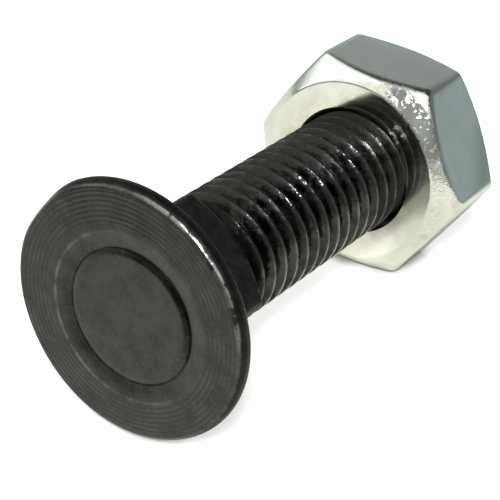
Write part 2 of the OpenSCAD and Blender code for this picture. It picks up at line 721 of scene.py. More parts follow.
@dataclass
class Bolt:
    """Bolt with a recessed countersunk head, a square neck and a threaded shank, in millimetres.

    Args:
        thread: Thread of the shank.
        head_r: Radius of the head.
        bevel_w: Width of the bevel round the face.
        bevel_h: Height of that bevel.
        rim_end: Height of the rim's rear edge.
        rim_round: How far the rounding of that edge reaches.
        seat_slope: Half the included angle of the countersunk seat.
        recess_r: Radius where the face starts to slope into its recess.
        slope_depth: Depth of that slope at the foot of the pad.
        pad_r: Radius of the pad in the middle of the recess, at its foot.
        pad_edge_w: Width of the slope round the edge of the pad.
        pad_rise: Rise of the pad over its foot.
        pad_lean: How much more the pad rises on one side.
        lean_angle: Way to that side.
        crease: Depth of the crease round the pad's foot.
        crease_half: Half the width of the crease.
        off_centre: How far the recess was pressed off the axis.
        off_angle: Way that it went.
        back_from: How far outside the recess the rings start to come back to the axis.
        back_less: How much less than the width of the face they take to come back.
        lean_gap: How far inside its foot the pad stops leaning.
        dents: Middle, half width and depth of each flat place on the head's edge.
        dent_reach: How far in from the edge the dents reach.
        dent_fade: Width over which they set in.
        ring_spacing: Distance from one turned ring of the face to the next.
        ring_depth: Depth of the rings.
        ring_middle: Where the rings have their middle, across the bolt.
        ring_side: Way from the axis to the side where the rings are deepest.
        swell: Most that the face is uneven.
        neck_w: Width of the neck across its flats.
        neck_corner_r: Radius of the neck's long corners.
        neck_end: Height where the neck ends.
        neck_chamfer: Slope of the chamfer that trims the corners at that end.
        neck_turn: Turn of the neck about the axis.
        length: Length of the bolt.
        run_out: Length of the plain groove next to the neck.
        unevenness: Most that the thread rises or falls.
        columns: Points round the bolt.
        fine_step: Distance from one ring of points to the next where rings are turned.
        step: The same elsewhere on the head.
        seat_rings: Rings of points on the seat.
        seat_first: Share of the seat's width that lies before the first of them.
    """

    thread: Thread
    head_r: float = 15.45
    bevel_w: float = 0.55
    bevel_h: float = 0.85
    rim_end: float = 1.65
    rim_round: float = 0.25
    seat_slope: float = math.radians(45)
    recess_r: float = 10.3
    slope_depth: float = 0.58
    pad_r: float = 8.1
    pad_edge_w: float = 0.7
    pad_rise: float = 0.24
    pad_lean: float = 0.07
    lean_angle: float = math.radians(235)
    crease: float = 0.05
    crease_half: float = 0.1
    off_centre: float = 0.5
    off_angle: float = math.radians(305)
    back_from: float = 0.5
    back_less: float = 1.5
    lean_gap: float = 0.15
    dents: tuple[Triple, ...] = (
        (math.radians(122), math.radians(24), 0.35),
        (math.radians(52), math.radians(36), 0.12),
    )
    dent_reach: float = 2.0
    dent_fade: float = 1.8
    ring_spacing: float = 0.57
    ring_depth: float = 0.04
    ring_middle: Triple = (0.05, -0.05, 0.0)
    ring_side: Triple = (0.17, 0.98, 0.0)
    swell: float = 0.04
    neck_w: float = 15.0
    neck_corner_r: float = 1.0
    neck_end: float = 13.5
    neck_chamfer: float = math.radians(35)
    neck_turn: float = math.radians(40)
    length: float = 63.5
    run_out: float = 0.5
    unevenness: float = 0.03
    columns: int = 192
    fine_step: float = 0.07
    step: float = 0.6
    seat_rings: int = 10
    seat_first: float = 0.04

    @property
    def neck_r(self) -> float:
        """Distance from the axis to the neck's flats."""
        return self.neck_w / 2

    @property
    def face_r(self) -> float:
        """Radius of the face inside its bevel."""
        return self.head_r - self.bevel_w

    def _neck_radius(self, angle: float) -> float:
        """Distance from the axis to the skin of the neck."""
        return polygon_radius(angle - self.neck_turn, 4, self.neck_r, self.neck_corner_r)

    def _seat_height(self, radius: float) -> float:
        """Height at which the countersunk seat has a radius."""
        return self.rim_end + (self.head_r - radius) / math.tan(self.seat_slope)

    def _dent(self, angle: float) -> float:
        """Adds up how far the dents press the head's edge in.

        Args:
            angle: Angle round the bolt.

        Returns:
            Depth at that angle.
        """
        depth = 0.0
        for middle, half, most in self.dents:
            off = (angle - middle + math.pi) % FULL_TURN - math.pi
            if abs(off) < half:
                depth += most * math.cos(off / half * math.pi / 2) ** 2
        return depth

    def _head_ring(self, shell: Shell, radius: float, height: float) -> None:
        """Lays one ring of the head, off centre in the recess and dented at the edge.

        Args:
            shell: Skin that the ring goes into.
            radius: Its radius in the half section.
            height: Its height in the half section.
        """
        # Across the face the rings come back to the axis, and near its edge the dents set in
        way_back = self.face_r - self.recess_r - self.back_less
        centred = (radius - self.recess_r - self.back_from) / way_back
        off = self.off_centre * min(1.0, max(0.0, 1 - centred))
        in_dents = radius - self.head_r + self.dent_reach
        dented = min(1.0, max(0.0, in_dents / self.dent_fade))
        on_pad = radius < self.pad_r - self.lean_gap
        lean = self.pad_lean * radius / self.pad_r if on_pad else 0.0
        shell.ring(
            (
                radius + off * math.cos(angle - self.off_angle) - dented * self._dent(angle),
                height - lean * math.cos(angle - self.lean_angle),
            )
            for angle in shell.angles
        )

    def _lay_head(self, shell: Shell) -> None:
        """Lays the pad, the recessed face, the bevel and the rim.

        Args:
            shell: Skin that the rings go into.
        """
        pad_top = self.slope_depth - self.pad_rise
        section = softened(
            [
                ProfilePoint(0.8, pad_top),
                ProfilePoint(self.pad_r - self.pad_edge_w, pad_top, 0.3),
                ProfilePoint(self.pad_r - self.crease_half, self.slope_depth - 0.04, 0.04),
                ProfilePoint(self.pad_r, self.slope_depth + self.crease, 0.04),
                ProfilePoint(self.pad_r + self.crease_half, self.slope_depth, 0.04),
                ProfilePoint(self.pad_r + 1.2, self.slope_depth * 0.43, 0.5),
                ProfilePoint(self.recess_r, 0.0, 0.4),
                ProfilePoint(self.face_r, 0.0, 0.42),
                ProfilePoint(self.head_r, self.bevel_h, 0.35),
                ProfilePoint(self.head_r, self.rim_end, self.rim_round),
                ProfilePoint(self.neck_r, self._seat_height(self.neck_r)),
            ]
        )
        shell.pole(pad_top)
        turned_from = self.recess_r + 0.1
        turned_to = self.face_r + 0.05
        to_rim = section[:-1]
        for (r0, z0), (r1, z1) in zip(to_rim, to_rim[1:]):
            step = self.fine_step if r0 > turned_from and r1 < turned_to else self.step
            count = max(1, math.ceil(math.hypot(r1 - r0, z1 - z0) / step))
            for i in range(count):
                t = i / count
                self._head_ring(shell, r0 + (r1 - r0) * t, z0 + (z1 - z0) * t)
        self._head_ring(shell, *to_rim[-1])

    def _seat_section(self, angle: float) -> Section:
        """Makes the half section of the seat, from just past the rim to the neck.

        Args:
            angle: Angle round the bolt.

        Returns:
            Radius and height of each point along the section.
        """
        edge_r = self.head_r - self.rim_round * math.sin(self.seat_slope) - self._dent(angle)
        neck_r = self._neck_radius(angle)
        first = self.seat_first
        line: Section = []
        for i in range(self.seat_rings):
            share = first + (1 - first) * i / (self.seat_rings - 1)
            radius = edge_r + (neck_r - edge_r) * share
            line.append((radius, self._seat_height(radius)))
        return line

    def _neck_section(self, angle: float) -> Section:
        """Makes the half section of the neck, from its side to the thread's root.

        Args:
            angle: Angle round the bolt.

        Returns:
            Radius and height of each point along the section.
        """
        side = self._neck_radius(angle)
        trimmed = (side - self.neck_r) * math.tan(self.neck_chamfer)
        return softened(
            [
                ProfilePoint(side, self._seat_height(side)),
                ProfilePoint(side, self.neck_end - trimmed, 0.3),
                ProfilePoint(self.neck_r - 0.3, self.neck_end, 0.25),
                ProfilePoint(self.thread.root_r, self.neck_end),
            ]
        )

    def _lay_end(self, shell: Shell) -> None:
        """Lays the flat far end.

        Args:
            shell: Skin that the rings go into.
        """
        shell.lift()
        for share in (1.0, 0.8, 0.4):
            shell.ring([(self.thread.root_r * share, self.length)] * self.columns)
        shell.pole(self.length)

    def build(
        self,
        laid: Matrix,
        threads: ThreadTree,
        faces: TurnedFaceTree,
        finish: Material,
    ) -> Piece:
        """Builds the bolt, dresses it and puts it on its body.

        Args:
            laid: Matrix that lays the bolt on the floor.
            threads: Tree that cuts threads.
            faces: Tree that turns rings into a face.
            finish: Material of the bolt.

        Returns:
            The finished piece.
        """
        shell = Shell("plow_bolt_body", self.columns)
        self._lay_head(shell)
        shell.loft(self._seat_section)
        shell.loft(self._neck_section, first=1)
        self._lay_end(shell)
        piece = shell.make()
        faces.put_on(
            piece,
            {
                "Inner radius": self.recess_r + 0.25,
                "Outer radius": self.face_r - 0.1,
                "Spacing": self.ring_spacing,
                "Depth": self.ring_depth,
                "Centre": self.ring_middle,
                "Strong side": self.ring_side,
                "Face depth": self.rim_end - 0.4,
                "Forged swell": self.swell,
                "Finish": finish,
            },
        )
        threads.cut(
            piece,
            self.thread,
            ThreadSide.OUTSIDE,
            (
                ProfilePoint(self.thread.root_r, self.neck_end),
                ProfilePoint(self.thread.root_r, self.length),
            ),
            self.columns,
            finish,
            run_out=self.run_out,
            unevenness=self.unevenness,
        )
        lay_down(piece, laid)
        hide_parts(Body.BOLT.value)
        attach(piece, Body.BOLT.value)
        return piece


@dataclass
class Nut:
    """Hex nut with chamfered corners at both ends, in millimetres.

    Args:
        thread: Thread of the bolt that it runs on.
        width: Width across the flats.
        height: Height of the nut.
        place: Height of its seat along the bolt.
        face_r: Radius of the flat faces inside the chamfers.
        seat_chamfer: Angle of the chamfer at the seat, from the face.
        end_chamfer: Angle of the chamfer at the far end, from the face.
        mouth_r: Radius of the countersink at each end of the hole.
        corner_r: Radius of the six upright corners.
        columns: Points round the nut.
    """

    thread: Thread
    width: float = 27.0
    height: float = 13.0
    place: float = 46.7
    face_r: float = 12.1
    seat_chamfer: float = math.radians(39)
    end_chamfer: float = math.radians(31)
    mouth_r: float = 8.6
    corner_r: float = 1.0
    columns: int = 240

    @property
    def end(self) -> float:
        """Height of the far face along the bolt."""
        return self.place + self.height

    @property
    def flat_end(self) -> float:
        """Height where the middle of a flat ends at the far chamfer."""
        return self.end - (self.width / 2 - self.face_r) * math.tan(self.end_chamfer)

    def _section(self, angle: float) -> Section:
        """Makes the outer half section, from the near mouth to the far one.

        Args:
            angle: Angle round the nut.

        Returns:
            Radius and height of each point along the section.
        """
        hex_r = polygon_radius(angle, 6, self.width / 2, self.corner_r)
        past_face = hex_r - self.face_r
        return softened(
            [
                ProfilePoint(self.mouth_r, self.place),
                ProfilePoint(self.face_r, self.place, 0.35),
                ProfilePoint(hex_r, self.place + past_face * math.tan(self.seat_chamfer), 0.85),
                ProfilePoint(hex_r, self.end - past_face * math.tan(self.end_chamfer), 0.4),
                ProfilePoint(self.face_r, self.end, 0.35),
                ProfilePoint(self.mouth_r, self.end),
            ]
        )

    def build(self, laid: Matrix, threads: ThreadTree, finish: Material) -> Piece:
        """Builds the nut, dresses it and puts it on its body.

        Args:
            laid: Matrix that lays the bolt on the floor.
            threads: Tree that cuts threads.
            finish: Material of the nut.

        Returns:
            The finished piece.
        """
        shell = Shell("hex_nut_body", self.columns)
        shell.loft(self._section)
        piece = shell.make()
        threads.cut(
            piece,
            self.thread,
            ThreadSide.INSIDE,
            (ProfilePoint(self.mouth_r, self.place), ProfilePoint(self.mouth_r, self.end)),
            self.columns,
            finish,
        )
        lay_down(piece, laid)
        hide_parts(Body.NUT.value)
        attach(piece, Body.NUT.value)
        return piece


@dataclass(frozen=True)
class Rest:
    """How the bolt lies: on the rim of its head and on one flat of its nut.

    Args:
        bolt: Bolt that lies on the floor.
        nut: Nut that is on it.
    """

    bolt: Bolt
    nut: Nut

    @property
    def tilt(self) -> float:
        """Slope of the bolt's axis towards its far end."""
        drop = self.bolt.head_r - self.nut.width / 2
        return math.atan(drop / (self.nut.flat_end - self.bolt.rim_end))

    @property
    def turn(self) -> float:
        """Turn about the y axis that lays the bolt down."""
        return math.pi / 2 + self.tilt

    @property
    def place(self) -> Vector:
        """Finds where the middle of the head's face lies.

        Returns:
            The place, in millimetres.
        """
        across = math.sin(self.tilt)
        along = math.cos(self.tilt)
        near = -self.bolt.face_r * across
        far = self.bolt.length * along + self.bolt.thread.root_r * across
        axis_height = self.bolt.head_r * along + self.bolt.rim_end * across
        return Vector((-(near + far) / 2, 0.0, axis_height))

    def matrix(self) -> Matrix:
        """Matrix from the bolt's own millimetres to the floor's metres."""
        laid = Matrix.Translation(self.place) @ Matrix.Rotation(self.turn, 4, "Y")
        return Matrix.Scale(MM, 4) @ laid


class SharedEffects:
    """Shader node groups that both finishes use."""

    def __init__(self, rest: Rest) -> None:
        """Builds the groups for a bolt that lies as rest says."""
        self._round_axis = self._new_round_axis(rest)
        self._mottle = self._new_mottle()

    @staticmethod
    def _new_round_axis(rest: Rest) -> bpy.types.ShaderNodeTree:
        """Makes the group that gives a point's place in the bolt's own frame.

        Args:
            rest: How the bolt lies.

        Returns:
            Group with the height, the radius and the whole place, in millimetres.
        """
        group = bpy.data.node_groups.new("round_axis", "ShaderNodeTree")
        for name in ("Along", "Radius"):
            group.interface.new_socket(name, in_out="OUTPUT", socket_type="NodeSocketFloat")
        group.interface.new_socket("Place", in_out="OUTPUT", socket_type="NodeSocketVector")
        s = Sketch(group)
        own = s.node(
            "ShaderNodeMapping",
            {
                "Vector": s.node("ShaderNodeTexCoord").outputs["Object"],
                "Location": rest.place * MM,
                "Rotation": (0.0, rest.turn, 0.0),
                "Scale": (MM, MM, MM),
            },
            vector_type="TEXTURE",
        ).outputs[0]
        radius = s.vector("LENGTH", s.vector("MULTIPLY", own, ACROSS))
        s.node("NodeGroupOutput", {"Along": s.parts(own)["Z"], "Radius": radius, "Place": own})
        return group

    @staticmethod
    def _new_mottle() -> bpy.types.ShaderNodeTree:
        """Makes the group that spreads cloudy patches with fine grain over a surface.

        Returns:
            Group with the masks of the patches, the grain and the mix of both.
        """
        group = bpy.data.node_groups.new("mottle", "ShaderNodeTree")
        face = group.interface
        for name in ("Patch scale", "Grain scale", "Grain share"):
            face.new_socket(name, in_out="INPUT", socket_type="NodeSocketFloat")
        for name in ("Patches", "Grain", "Both"):
            face.new_socket(name, in_out="OUTPUT", socket_type="NodeSocketFloat")
        s = Sketch(group)
        given = s.node("NodeGroupInput").outputs
        spot = s.node("ShaderNodeTexCoord").outputs["Object"]
        cloud = s.noise(spot, given["Patch scale"], detail=4.0, roughness=0.55)
        sand = s.noise(spot, given["Grain scale"], detail=2.0, roughness=0.7)
        patches = s.ramp(cloud, (0.32, 0.68), smooth=True)
        grain = s.ramp(sand, (0.3, 0.7))
        pull = s.product(s.minus(grain, patches), given["Grain share"])
        both = s.total(patches, pull)
        s.node("NodeGroupOutput", {"Patches": patches, "Grain": grain, "Both": both})
        return group

    def placed(self, s: Sketch) -> Outputs:
        """Adds the group that gives a point's place to a material and returns its outputs."""
        return s.node("ShaderNodeGroup", node_tree=self._round_axis).outputs

    def mottled(self, s: Sketch, mottle: Mottle) -> Outputs:
        """Adds the group that spreads patches to a material and returns its outputs."""
        inputs = dict(enumerate(mottle))
        return s.node("ShaderNodeGroup", inputs, node_tree=self._mottle).outputs


def new_material(name: str) -> tuple[Material, Sketch]:
    """Makes an empty node material.

    Args:
        name: Name of the material.

    Returns:
        The material and the sketch of its tree.
    """
    material = bpy.data.materials.new(name)
    material.use_nodes = True
    material.node_tree.nodes.clear()
    return material, Sketch(material.node_tree)


@dataclass(frozen=True)
class OiledBlackSteel:
    """Black finish of the bolt: turned face, worn edges, dark neck and a thread wet with oil, with
    painted highlights on the head's edge, the recess edge and the neck's end, and painted shade in the
    recess, round the pad and in the groove past the neck.

    Args:
        bolt: Bolt that the finish is for.
        oxide: Colour of the black skin.
        turned: Colour of the turned face.
        oiled: Colour of the thread under its oil.
        worn: Colour of rubbed crests and of the neck's edges, where it also makes a painted highlight
            line.
        bared_and_highlight: Colour of the head's edge where the black is rubbed off, which is also its
            painted highlight.
        skin_mottle: Patches and grain of the black skin.
        oil_mottle: Patches and grain of the oil.
        drop_scale: Drops of oil to the metre.
        bevel_from: Radius where the turned face gives way to the dark bevel.
        recess_r: Radius of the recess edge, where it gets a painted highlight.
        recess_middle: Where the recess has its middle, across the bolt.
        ring_tone: How much lighter and darker the turned rings are.
        edge_highlight_tone: How much lighter the recess edge is, as a painted highlight.
        crease_shade_tone: How much darker the crease round the pad's foot is, as painted shade.
        slope_shade_tone: How much darker the recess is next to that crease, as painted shade on one
            side.
        shade_tone: How much darker the pad's edge is on one side, as a painted shadow.
        darkest: Least that the face's colour is multiplied by.
        recess_light_side: Way from the axis to the side where the recess edge gets its painted highlight
            and the slope inside it its painted shade.
        painted_light_side: Way from the axis to the side where the edge of the head is bare and gets its
            painted highlight, and where the pad's edge gets its painted shadow.
        highlight_reach: Where that painted highlight starts on its side, and where it is all bright.
        dusty_side: Way from the axis to the side where dust lies on the oil.
        lumpy_reach: Where the oil starts to be lumpy on that side, and where it is most so.
        dusty_reach: The same for the dust.
        oil_from: Height where the oily thread starts.
        plain_l: Length past the neck that the oil leaves dull, and where the colour is darkened as
            painted shade in the groove.
        dry_from: Height where the oil starts to thin out before the nut.
        dry_l: Length over which it thins out.
        relief: Height of the finish's relief, in metres.
        coat_rough: Roughness of the oil film.
    """

    bolt: Bolt
    oxide: Colour = (0.056, 0.053, 0.052, 1.0)
    turned: Colour = (0.064, 0.0635, 0.068, 1.0)
    oiled: Colour = (0.024, 0.024, 0.023, 1.0)
    worn: Colour = (0.12, 0.12, 0.115, 1.0)
    bared_and_highlight: Colour = (0.34, 0.34, 0.33, 1.0)
    skin_mottle: Mottle = Mottle(420.0, 2600.0, 0.35)
    oil_mottle: Mottle = Mottle(560.0, 1500.0, 0.3)
    drop_scale: float = 800.0
    bevel_from: float = 14.95
    recess_r: float = 10.15
    recess_middle: Triple = (0.29, -0.41, 0.0)
    ring_tone: float = 0.25
    edge_highlight_tone: float = 1.8
    crease_shade_tone: float = -0.55
    slope_shade_tone: float = -0.24
    shade_tone: float = -0.6
    darkest: float = 0.15
    recess_light_side: Triple = (0.5, 0.87, 0.0)
    painted_light_side: Triple = (-0.77, -0.64, 0.0)
    highlight_reach: Range = (11.0, 14.0)
    dusty_side: Triple = (-0.94, 0.34, 0.0)
    lumpy_reach: Range = (0.5, 5.5)
    dusty_reach: Range = (4.0, 7.2)
    oil_from: float = 13.2
    plain_l: float = 2.6
    dry_from: float = 40.8
    dry_l: float = 1.5
    relief: float = 0.00016
    coat_rough: float = 0.09

    def _face_tone(self, s: Sketch, axis: Outputs, mottle: Outputs) -> Socket:
        """Makes the light and dark of the turned rings, the painted highlight on the recess edge and the
        painted shade in and round the crease and on the pad's edge.

        Args:
            s: Sketch of the material.
            axis: Outputs of the group that gives a point's place.
            mottle: Outputs of the group that spreads patches.

        Returns:
            Socket of what the face's colour is multiplied by.
        """
        head_r = self.bolt.head_r
        place = axis["Place"]
        out = s.away(place, self.bolt.ring_middle)
        wave = s.math("COSINE", s.product(out, FULL_TURN / self.bolt.ring_spacing))
        inner = s.ramp(out, (self.recess_r + 0.4, self.recess_r + 0.9))
        outer = s.fall(out, head_r - 1.2, head_r - 0.7)
        lines = s.product(wave, s.product(inner, outer, mottle["Patches"]), self.ring_tone)
        spot = s.away(place, self.recess_middle)
        # Painted highlight on the recess edge and painted shade on the slope inside it, both stronger on
        # one side
        strong = s.ramp(s.toward(place, self.recess_light_side), (-5.0, 8.0), (0.1, 1.0))
        edge = s.ramp(s.apart(spot, self.recess_r), (0.04, 0.26), (self.edge_highlight_tone, 0.0))
        edge = s.product(edge, s.product(mottle["Both"], strong))
        past_pad = s.minus(spot, self.bolt.pad_r)
        # Painted shade in the crease round the pad's foot
        crease = s.ramp(s.math("ABSOLUTE", past_pad), (0.04, 0.22), (self.crease_shade_tone, 0.0))
        # Painted shade on the recess slope next to the crease, on one side
        foot = s.product(s.ramp(past_pad, (0.0, 0.15)), s.fall(past_pad, 0.8, 1.5))
        slope_shade = s.product(foot, strong, self.slope_shade_tone)
        # Painted shadow on the pad's edge, on one side
        ledge = s.product(s.ramp(past_pad, (-0.85, -0.6)), s.fall(past_pad, 0.1, 0.3))
        shaded = s.ramp(s.toward(place, self.painted_light_side), (2.5, 6.5), (0.0, self.shade_tone))
        grain = s.level(mottle["Both"], 0.75, 1.25)
        specks = s.ramp(mottle["Grain"], (0.9, 1.0), (0.0, 0.5))
        light = s.total(s.total(grain, lines), s.total(edge, specks))
        dark = s.total(slope_shade, crease, s.product(ledge, shaded))
        return s.math("MAXIMUM", s.total(light, dark), self.darkest)

    def _rim(self, s: Sketch, axis: Outputs, oil: Outputs) -> Socket:
        """Makes the mask of the head's edge where the black is rubbed off, kept to one side as a painted
        highlight.

        Args:
            s: Sketch of the material.
            axis: Outputs of the group that gives a point's place.
            oil: Outputs of the group that spreads the oil's patches.

        Returns:
            Socket of the mask.
        """
        head_r = self.bolt.head_r
        out = s.ramp(axis["Radius"], (head_r - 0.85, head_r - 0.6))
        # Bright colour only on one side of the edge: bare metal that is also a painted highlight
        side = s.ramp(s.toward(axis["Place"], self.painted_light_side), self.highlight_reach, (0.06, 1.0))
        front = s.fall(axis["Along"], 0.25, 0.45)
        return s.product(out, side, front, s.ramp(oil["Both"], (0.3, 0.55)))

    def _neck_edge(self, s: Sketch, axis: Outputs, oil: Outputs) -> Socket:
        """Makes the mask of the edge of the neck's end, worn and painted lighter as a highlight line.

        Args:
            s: Sketch of the material.
            axis: Outputs of the group that gives a point's place.
            oil: Outputs of the group that spreads the oil's patches.

        Returns:
            Socket of the mask.
        """
        over_flat = s.minus(axis["Radius"], self.bolt.neck_r)
        to_end = s.minus(axis["Along"], self.bolt.neck_end)
        slope = math.tan(self.bolt.neck_chamfer)
        from_end = s.math("ABSOLUTE", s.math("MULTIPLY_ADD", over_flat, slope, to_end))
        edge = s.product(s.fall(from_end, 0.1, 0.3), s.ramp(over_flat, (-0.3, -0.1)))
        return s.product(edge, s.ramp(oil["Patches"], (0.3, 0.7)))

    def material(self, effects: SharedEffects) -> Material:
        """Builds the material.

        Args:
            effects: Groups that the finishes share.

        Returns:
            The new material.
        """
        material, s = new_material("oiled_black_steel")
        axis = effects.placed(s)
        mottle = effects.mottled(s, self.skin_mottle)
        oil = effects.mottled(s, self.oil_mottle)
        along = axis["Along"]
        radius = axis["Radius"]

        # Where each look lies on the bolt
        bolt = self.bolt
        front = s.fall(along, 0.85, 1.2)
        bevel_edge = (self.bevel_from, self.bevel_from + 0.15)
        face = s.product(s.fall(radius, *bevel_edge), front)
        bevel = s.product(s.ramp(radius, bevel_edge), front)
        oily = s.ramp(along, (self.oil_from - 0.3, self.oil_from + 0.3))
        side = s.toward(axis["Place"], self.dusty_side)
        lumpy = s.product(s.ramp(side, self.lumpy_reach), oily)
        dusty = s.product(s.ramp(side, self.dusty_reach), oily)
        run_out = s.product(s.fall(along, bolt.neck_end, bolt.neck_end + self.plain_l), oily)
        dry = s.ramp(along, (self.dry_from, self.dry_from + self.dry_l))
        crest_r = bolt.thread.crest_r
        crest = s.product(s.ramp(radius, (crest_r - 0.16, crest_r - 0.04)), oily)
        rubbed = s.product(crest, s.minus(1.0, lumpy), s.level(oil["Patches"], 0.9, 0.2))
        rim = self._rim(s, axis, oil)

        # Colour
        skin = s.blend(s.math("MAXIMUM", oily, bevel), self.oxide, self.oiled)
        skin = s.blend(face, skin, self.turned)
        # The neck's end and the head's edge get lighter colours: wear, and painted highlights
        edges = s.math("MAXIMUM", rubbed, self._neck_edge(s, axis, oil))
        tone = s.blend(rim, s.blend(edges, skin, self.worn), self.bared_and_highlight)
        # Darker colour in the plain groove past the neck: painted shade
        oxide_tone = s.product(s.level(oil["Both"], 0.6, 1.4), s.level(run_out, 1.0, 0.2))
        face_tone = self._face_tone(s, axis, mottle)
        lift = s.product(face, s.minus(face_tone, oxide_tone))
        colour = s.scaled(tone, s.total(oxide_tone, lift))

        # Roughness, and the film of oil
        satin = s.total(s.level(mottle["Both"], 0.25, 0.34), s.level(face, 0.14, 0.0))
        satin = s.math("MULTIPLY_ADD", rim, -0.16, satin)
        wet = s.total(s.level(oil["Patches"], 0.1, 0.34), s.product(dusty, 0.3))
        wet = s.math("MULTIPLY_ADD", run_out, 0.25, wet)
        wet = s.math("MULTIPLY_ADD", dry, 0.15, wet)
        rough = s.total(satin, s.product(oily, s.minus(wet, satin)))
        film = s.product(s.ramp(oil["Patches"], (0.2, 0.8), (1.0, 0.3)), s.level(dusty, 1.0, 0.4))
        coat = s.product(oily, film, s.fall(run_out, 0.0, 0.7), s.level(dry, 1.0, 0.25))

        # Relief of the oil and of the skin
        spot = s.node("ShaderNodeTexCoord").outputs["Object"]
        drops = s.total(s.noise(spot, self.drop_scale, detail=1.0), s.product(oil["Both"], 0.4))
        lumps = s.product(drops, s.level(oily, 0.2, 0.6), s.level(lumpy, 1.0, 2.5))
        pits = s.product(mottle["Grain"], s.level(face, 0.1, 0.07))
        bump = s.node(
            "ShaderNodeBump",
            {"Strength": 0.5, "Distance": self.relief, "Height": s.total(lumps, pits)},
        )
        shader = s.node(
            "ShaderNodeBsdfPrincipled",
            {
                "Base Color": colour,
                "Metallic": 1.0,
                "Roughness": rough,
                "Coat Weight": coat,
                "Coat Roughness": self.coat_rough,
                "Normal": bump.outputs[0],
                "Coat Normal": bump.outputs[0],
            },
        )
        s.node("ShaderNodeOutputMaterial", {"Surface": shader.outputs[0]})
        return material


@dataclass(frozen=True)
class BrightZinc:
    """Bright zinc plate of the nut: smooth on the flats, spangled and rubbed on the chamfers.

    Args:
        nut: Nut that the finish is for.
        clear: Colour of the smooth plate.
        clouded: Colour of the duller patches.
        bare: Colour of the dark spots in the spangle.
        stain: Colour of the yellowed patches of the face, and of the darker ring round the hole, which
            is partly painted shade.
        plate_mottle: Patches and grain of the plate.
        spangle: Patches and grain of the spangle.
        worn_side: Way from the axis to the side where the chamfer is worn most.
        worn_reach: Where the wear starts on that side, and where it is strongest.
        dull_side: Way from the axis to the corner where the dark spots are.
        dull_turn: Cosines of the angles from that corner where spots start, and where all are.
        relief: Height of the plate's relief, in metres.
    """

    nut: Nut
    clear: Colour = (0.88, 0.89, 0.87, 1.0)
    clouded: Colour = (0.78, 0.8, 0.78, 1.0)
    bare: Colour = (0.18, 0.19, 0.185, 1.0)
    stain: Colour = (0.6, 0.56, 0.4, 1.0)
    plate_mottle: Mottle = Mottle(330.0, 1500.0, 0.3)
    spangle: Mottle = Mottle(1300.0, 3000.0, 0.45)
    worn_side: Triple = (-0.45, -0.89, 0.0)
    worn_reach: Range = (1.0, 11.0)
    dull_side: Triple = (-0.79, -0.61, 0.0)
    dull_turn: Range = (0.86, 0.97)
    relief: float = 0.00005

    def material(self, effects: SharedEffects) -> Material:
        """Builds the material.

        Args:
            effects: Groups that the finishes share.

        Returns:
            The new material.
        """
        material, s = new_material("bright_zinc")
        axis = effects.placed(s)
        mottle = effects.mottled(s, self.plate_mottle)
        spangle = effects.mottled(s, self.spangle)
        radius = axis["Radius"]

        # Where the chamfer is worn, and where it has spots
        past = s.minus(radius, self.nut.face_r)
        cone = s.math("MULTIPLY_ADD", past, math.tan(self.nut.seat_chamfer), self.nut.place)
        on_cone = s.fall(s.apart(axis["Along"], cone), 0.15, 0.4)
        sloped = s.product(on_cone, s.ramp(past, (-0.6, 0.4)))
        worn_far = s.toward(axis["Place"], self.worn_side)
        worn = s.product(sloped, s.ramp(worn_far, self.worn_reach, (0.15, 1.0)))
        turn = s.math("DIVIDE", s.toward(axis["Place"], self.dull_side), radius)
        spotted = s.product(worn, s.ramp(turn, self.dull_turn, (0.12, 1.0)))
        inward = s.ramp(past, (1.0, 2.5), (1.0, 0.1))
        speckle = s.ramp(spangle["Both"], (0.12, 0.52), smooth=True)
        dull = s.ramp(s.product(speckle, inward, spotted), (0.05, 0.5))

        # Colour
        plate = s.blend(s.product(mottle["Both"], 0.7), self.clear, self.clouded)
        # Darker, yellower ring round the hole: partly dirt, partly painted shade where the bolt passes
        # through
        grime_and_shade = s.ramp(radius, (self.nut.mouth_r, self.nut.face_r), (0.5, 0.0))
        grime_and_shade = s.product(grime_and_shade, s.ramp(mottle["Both"], (0.2, 0.8)))
        yellowed = s.product(s.ramp(mottle["Patches"], (0.5, 1.0)), worn, 0.6)
        plate = s.blend(s.math("MAXIMUM", grime_and_shade, yellowed), plate, self.stain)
        colour = s.blend(s.product(dull, 0.9), plate, self.bare)

        # Roughness and relief
        rough = s.math("MULTIPLY_ADD", dull, 0.6, s.level(mottle["Both"], 0.09, 0.16))
        flat_ripple = s.product(mottle["Patches"], 0.25)
        ripple = s.math("MULTIPLY_ADD", spangle["Both"], s.product(worn, 2.5), flat_ripple)
        bump = s.node(
            "ShaderNodeBump",
            {"Strength": 0.25, "Distance": self.relief, "Height": ripple},
        )
        shader = s.node(
            "ShaderNodeBsdfPrincipled",
            {
                "Base Color": colour,
                "Metallic": 1.0,
                "Roughness": rough,
                "Normal": bump.outputs[0],
            },
        )
        s.node("ShaderNodeOutputMaterial", {"Surface": shader.outputs[0]})
        return material


